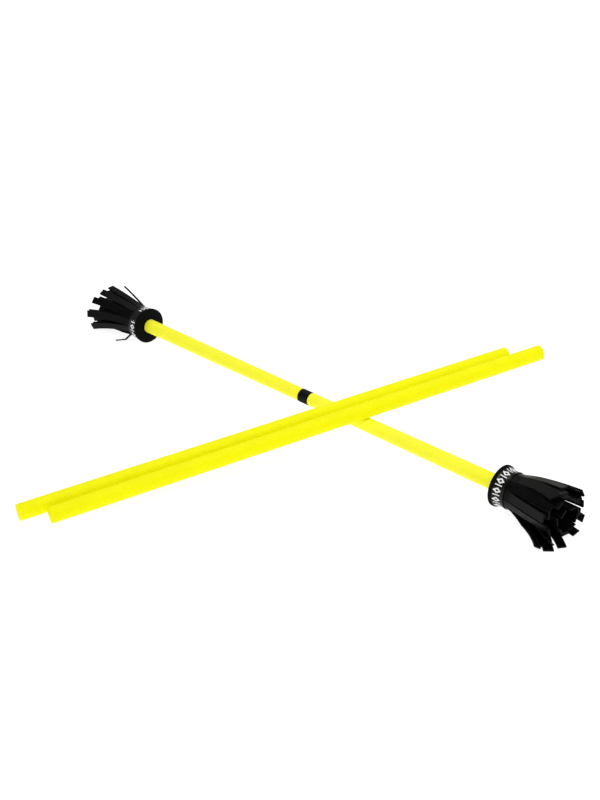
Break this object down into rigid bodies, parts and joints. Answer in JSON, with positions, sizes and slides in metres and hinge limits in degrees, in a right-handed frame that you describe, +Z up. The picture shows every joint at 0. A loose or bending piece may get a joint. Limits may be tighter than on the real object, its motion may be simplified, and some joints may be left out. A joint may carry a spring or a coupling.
{
  "type": "devil stick",
  "caption": "Tasselled devil stick with a soft tapered grip shaft and two plain hand sticks lying across it, for juggling tricks.",
  "frame": {"origin": "on the floor under the middle of the set's footprint", "axes": "+X along the centre stick, towards its right flower; +Z up; the low ends of the hand sticks are on the -Y side"},
  "size_m": [0.6217, 0.4961, 0.0583],
  "materials": {
    "rod": "pultruded glass-fibre rod",
    "silicone_sleeve": "satin fluorescent yellow silicone",
    "plug_silicone": "satin fluorescent yellow silicone",
    "band_tape": "satin black vinyl tape",
    "collar_rubber": "matt black moulded rubber",
    "cap_rubber": "matt black moulded rubber",
    "fringe_rubber": "black rubber sheet, satin faces and matt cut edges",
    "collar_tape": "glossy black wound tape",
    "label_film": "glossy black film with a plain white pattern"
  },
  "bodies": {
    "centre_stick": {"shaft_core": "rod", "shaft_sleeve": "silicone_sleeve", "balance_band": "band_tape", "left_collar_washer": "collar_rubber", "left_shaft_end_cap": "cap_rubber", "left_fringe_turn_1": "fringe_rubber", "left_fringe_turn_2": "fringe_rubber", "left_fringe_turn_3": "fringe_rubber", "left_fringe_turn_4_base": "fringe_rubber", "left_collar_tape": "collar_tape", "left_collar_label": "label_film", "right_collar_washer": "collar_rubber", "right_shaft_end_cap": "cap_rubber", "right_fringe_turn_1": "fringe_rubber", "right_fringe_turn_2": "fringe_rubber", "right_fringe_turn_3": "fringe_rubber", "right_fringe_turn_4_base": "fringe_rubber", "right_collar_tape": "collar_tape", "right_collar_label": "label_film"},
    "left_strip_01": {"left_strip_01": "fringe_rubber"},
    "left_strip_02": {"left_strip_02": "fringe_rubber"},
    "left_strip_03": {"left_strip_03": "fringe_rubber"},
    "left_strip_04": {"left_strip_04": "fringe_rubber"},
    "left_strip_05": {"left_strip_05": "fringe_rubber"},
    "left_strip_06": {"left_strip_06": "fringe_rubber"},
    "left_strip_07": {"left_strip_07": "fringe_rubber"},
    "left_strip_08": {"left_strip_08": "fringe_rubber"},
    "left_strip_09": {"left_strip_09": "fringe_rubber"},
    "left_strip_10": {"left_strip_10": "fringe_rubber"},
    "left_strip_11": {"left_strip_11": "fringe_rubber"},
    "left_strip_12": {"left_strip_12": "fringe_rubber"},
    "right_strip_01": {"right_strip_01": "fringe_rubber"},
    "right_strip_02": {"right_strip_02": "fringe_rubber"},
    "right_strip_03": {"right_strip_03": "fringe_rubber"},
    "right_strip_04": {"right_strip_04": "fringe_rubber"},
    "right_strip_05": {"right_strip_05": "fringe_rubber"},
    "right_strip_06": {"right_strip_06": "fringe_rubber"},
    "right_strip_07": {"right_strip_07": "fringe_rubber"},
    "right_strip_08": {"right_strip_08": "fringe_rubber"},
    "right_strip_09": {"right_strip_09": "fringe_rubber"},
    "right_strip_10": {"right_strip_10": "fringe_rubber"},
    "right_strip_11": {"right_strip_11": "fringe_rubber"},
    "right_strip_12": {"right_strip_12": "fringe_rubber"},
    "left_hand_stick": {"left_hand_stick_core": "rod", "left_hand_stick_sleeve": "silicone_sleeve", "left_hand_stick_low_plug": "plug_silicone", "left_hand_stick_high_plug": "plug_silicone"},
    "right_hand_stick": {"right_hand_stick_core": "rod", "right_hand_stick_sleeve": "silicone_sleeve", "right_hand_stick_low_plug": "plug_silicone", "right_hand_stick_high_plug": "plug_silicone"}
  },
  "joints": [
    {"name": "left_strip_01_bend", "type": "hinge", "parent": "centre_stick", "child": "left_strip_01", "pos_m": [-0.25115, 0.07566, 0.02334], "axis": [0, 0.2588, -0.9659], "range_deg": [0, 65], "stiffness_Nm_per_rad": 0.01},
    {"name": "left_strip_02_bend", "type": "hinge", "parent": "centre_stick", "child": "left_strip_02", "pos_m": [-0.25115, 0.07151, 0.03051], "axis": [0, 0.7071, -0.7071], "range_deg": [0, 65], "stiffness_Nm_per_rad": 0.01},
    {"name": "left_strip_03_bend", "type": "hinge", "parent": "centre_stick", "child": "left_strip_03", "pos_m": [-0.25115, 0.06434, 0.03465], "axis": [0, 0.9659, -0.2588], "range_deg": [0, 65], "stiffness_Nm_per_rad": 0.01},
    {"name": "left_strip_04_bend", "type": "hinge", "parent": "centre_stick", "child": "left_strip_04", "pos_m": [-0.25115, 0.05606, 0.03465], "axis": [0, 0.9659, 0.2588], "range_deg": [0, 65], "stiffness_Nm_per_rad": 0.01},
    {"name": "left_strip_05_bend", "type": "hinge", "parent": "centre_stick", "child": "left_strip_05", "pos_m": [-0.25115, 0.04889, 0.03051], "axis": [0, 0.7071, 0.7071], "range_deg": [0, 65], "stiffness_Nm_per_rad": 0.01},
    {"name": "left_strip_06_bend", "type": "hinge", "parent": "centre_stick", "child": "left_strip_06", "pos_m": [-0.25115, 0.04475, 0.02334], "axis": [0, 0.2588, 0.9659], "range_deg": [0, 65], "stiffness_Nm_per_rad": 0.01},
    {"name": "left_strip_07_bend", "type": "hinge", "parent": "centre_stick", "child": "left_strip_07", "pos_m": [-0.25115, 0.04475, 0.01506], "axis": [0, -0.2588, 0.9659], "range_deg": [0, 65], "stiffness_Nm_per_rad": 0.01},
    {"name": "left_strip_08_bend", "type": "hinge", "parent": "centre_stick", "child": "left_strip_08", "pos_m": [-0.25115, 0.04889, 0.00789], "axis": [0, -0.7071, 0.7071], "range_deg": [0, 65], "stiffness_Nm_per_rad": 0.01},
    {"name": "left_strip_09_bend", "type": "hinge", "parent": "centre_stick", "child": "left_strip_09", "pos_m": [-0.25115, 0.05606, 0.00375], "axis": [0, -0.9659, 0.2588], "range_deg": [0, 65], "stiffness_Nm_per_rad": 0.01},
    {"name": "left_strip_10_bend", "type": "hinge", "parent": "centre_stick", "child": "left_strip_10", "pos_m": [-0.25115, 0.06434, 0.00375], "axis": [0, -0.9659, -0.2588], "range_deg": [0, 65], "stiffness_Nm_per_rad": 0.01},
    {"name": "left_strip_11_bend", "type": "hinge", "parent": "centre_stick", "child": "left_strip_11", "pos_m": [-0.25115, 0.07151, 0.00789], "axis": [0, -0.7071, -0.7071], "range_deg": [0, 65], "stiffness_Nm_per_rad": 0.01},
    {"name": "left_strip_12_bend", "type": "hinge", "parent": "centre_stick", "child": "left_strip_12", "pos_m": [-0.25115, 0.07566, 0.01506], "axis": [0, -0.2588, -0.9659], "range_deg": [0, 65], "stiffness_Nm_per_rad": 0.01},
    {"name": "right_strip_01_bend", "type": "hinge", "parent": "centre_stick", "child": "right_strip_01", "pos_m": [0.25115, 0.07566, 0.02334], "axis": [0, -0.2588, 0.9659], "range_deg": [0, 65], "stiffness_Nm_per_rad": 0.01},
    {"name": "right_strip_02_bend", "type": "hinge", "parent": "centre_stick", "child": "right_strip_02", "pos_m": [0.25115, 0.07151, 0.03051], "axis": [0, -0.7071, 0.7071], "range_deg": [0, 65], "stiffness_Nm_per_rad": 0.01},
    {"name": "right_strip_03_bend", "type": "hinge", "parent": "centre_stick", "child": "right_strip_03", "pos_m": [0.25115, 0.06434, 0.03465], "axis": [0, -0.9659, 0.2588], "range_deg": [0, 65], "stiffness_Nm_per_rad": 0.01},
    {"name": "right_strip_04_bend", "type": "hinge", "parent": "centre_stick", "child": "right_strip_04", "pos_m": [0.25115, 0.05606, 0.03465], "axis": [0, -0.9659, -0.2588], "range_deg": [0, 65], "stiffness_Nm_per_rad": 0.01},
    {"name": "right_strip_05_bend", "type": "hinge", "parent": "centre_stick", "child": "right_strip_05", "pos_m": [0.25115, 0.04889, 0.03051], "axis": [0, -0.7071, -0.7071], "range_deg": [0, 65], "stiffness_Nm_per_rad": 0.01},
    {"name": "right_strip_06_bend", "type": "hinge", "parent": "centre_stick", "child": "right_strip_06", "pos_m": [0.25115, 0.04475, 0.02334], "axis": [0, -0.2588, -0.9659], "range_deg": [0, 65], "stiffness_Nm_per_rad": 0.01},
    {"name": "right_strip_07_bend", "type": "hinge", "parent": "centre_stick", "child": "right_strip_07", "pos_m": [0.25115, 0.04475, 0.01506], "axis": [0, 0.2588, -0.9659], "range_deg": [0, 65], "stiffness_Nm_per_rad": 0.01},
    {"name": "right_strip_08_bend", "type": "hinge", "parent": "centre_stick", "child": "right_strip_08", "pos_m": [0.25115, 0.04889, 0.00789], "axis": [0, 0.7071, -0.7071], "range_deg": [0, 65], "stiffness_Nm_per_rad": 0.01},
    {"name": "right_strip_09_bend", "type": "hinge", "parent": "centre_stick", "child": "right_strip_09", "pos_m": [0.25115, 0.05606, 0.00375], "axis": [0, 0.9659, -0.2588], "range_deg": [0, 65], "stiffness_Nm_per_rad": 0.01},
    {"name": "right_strip_10_bend", "type": "hinge", "parent": "centre_stick", "child": "right_strip_10", "pos_m": [0.25115, 0.06434, 0.00375], "axis": [0, 0.9659, 0.2588], "range_deg": [0, 65], "stiffness_Nm_per_rad": 0.01},
    {"name": "right_strip_11_bend", "type": "hinge", "parent": "centre_stick", "child": "right_strip_11", "pos_m": [0.25115, 0.07151, 0.00789], "axis": [0, 0.7071, 0.7071], "range_deg": [0, 65], "stiffness_Nm_per_rad": 0.01},
    {"name": "right_strip_12_bend", "type": "hinge", "parent": "centre_stick", "child": "right_strip_12", "pos_m": [0.25115, 0.07566, 0.01506], "axis": [0, 0.2588, 0.9659], "range_deg": [0, 65], "stiffness_Nm_per_rad": 0.01},
    {"name": "left_hand_stick_lift", "type": "slide", "parent": "centre_stick", "child": "left_hand_stick", "axis": [0, 0, 1], "range_m": [0, 0.15]},
    {"name": "right_hand_stick_lift", "type": "slide", "parent": "centre_stick", "child": "right_hand_stick", "axis": [0, 0, 1], "range_m": [0, 0.15]}
  ]
}
